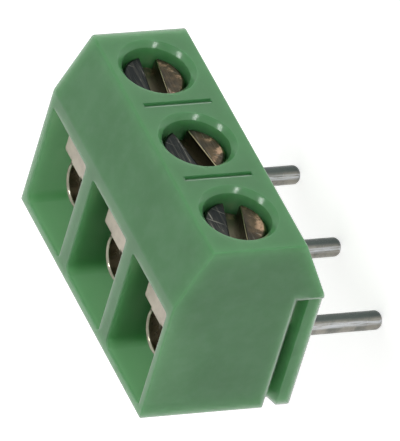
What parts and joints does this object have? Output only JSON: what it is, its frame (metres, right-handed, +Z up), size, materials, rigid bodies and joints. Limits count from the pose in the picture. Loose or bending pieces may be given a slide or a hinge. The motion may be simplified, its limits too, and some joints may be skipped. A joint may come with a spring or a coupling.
{
  "type": "pcb screw terminal",
  "caption": "Screw terminal block for a circuit board: a green moulding with wire pockets opposite its solder pins and clamp screws reached from the side.",
  "frame": {"origin": "on the middle solder pin's axis, in the plane of the board", "axes": "+X along the row of poles towards the stacking rib, -Y the way the screw heads face, +Z up from the board, the way the wires leave"},
  "size_m": [0.0156, 0.0098, 0.0124],
  "materials": {
    "housing_green": "moulded, semi-matt",
    "clamp_plating": "nickel plated",
    "screw_steel": "dark passivated zinc",
    "guard_plating": "matt tin plated",
    "pin_tin": "bright tin plated"
  },
  "bodies": {
    "block": {"housing": "housing_green", "clamp_body_1": "clamp_plating", "solder_pin_1": "pin_tin", "clamp_body_2": "clamp_plating", "solder_pin_2": "pin_tin", "clamp_body_3": "clamp_plating", "solder_pin_3": "pin_tin"},
    "guard_1": {"wire_guard_1": "guard_plating"},
    "clamp_screw_1": {"screw_1": "screw_steel"},
    "guard_2": {"wire_guard_2": "guard_plating"},
    "clamp_screw_2": {"screw_2": "screw_steel"},
    "guard_3": {"wire_guard_3": "guard_plating"},
    "clamp_screw_3": {"screw_3": "screw_steel"}
  },
  "joints": [
    {"name": "guard_1_slide", "type": "slide", "parent": "block", "child": "guard_1", "axis": [0, 1, 0], "range_m": [0, 0.0014]},
    {"name": "screw_1_turn", "type": "hinge", "parent": "guard_1", "child": "clamp_screw_1", "pos_m": [-0.005, -0.0066, 0.0041], "axis": [0, 1, 0], "range_deg": [0, 1260]},
    {"name": "guard_2_slide", "type": "slide", "parent": "block", "child": "guard_2", "axis": [0, 1, 0], "range_m": [0, 0.0014]},
    {"name": "screw_2_turn", "type": "hinge", "parent": "guard_2", "child": "clamp_screw_2", "pos_m": [0, -0.0066, 0.0041], "axis": [0, 1, 0], "range_deg": [0, 1260]},
    {"name": "guard_3_slide", "type": "slide", "parent": "block", "child": "guard_3", "axis": [0, 1, 0], "range_m": [0, 0.0014]},
    {"name": "screw_3_turn", "type": "hinge", "parent": "guard_3", "child": "clamp_screw_3", "pos_m": [0.005, -0.0066, 0.0041], "axis": [0, 1, 0], "range_deg": [0, 1260]}
  ],
  "couplings": [
    {"joint": "screw_1_turn", "follows": "guard_1_slide", "rad_per_m": 15708},
    {"joint": "screw_2_turn", "follows": "guard_2_slide", "rad_per_m": 15708},
    {"joint": "screw_3_turn", "follows": "guard_3_slide", "rad_per_m": 15708}
  ]
}
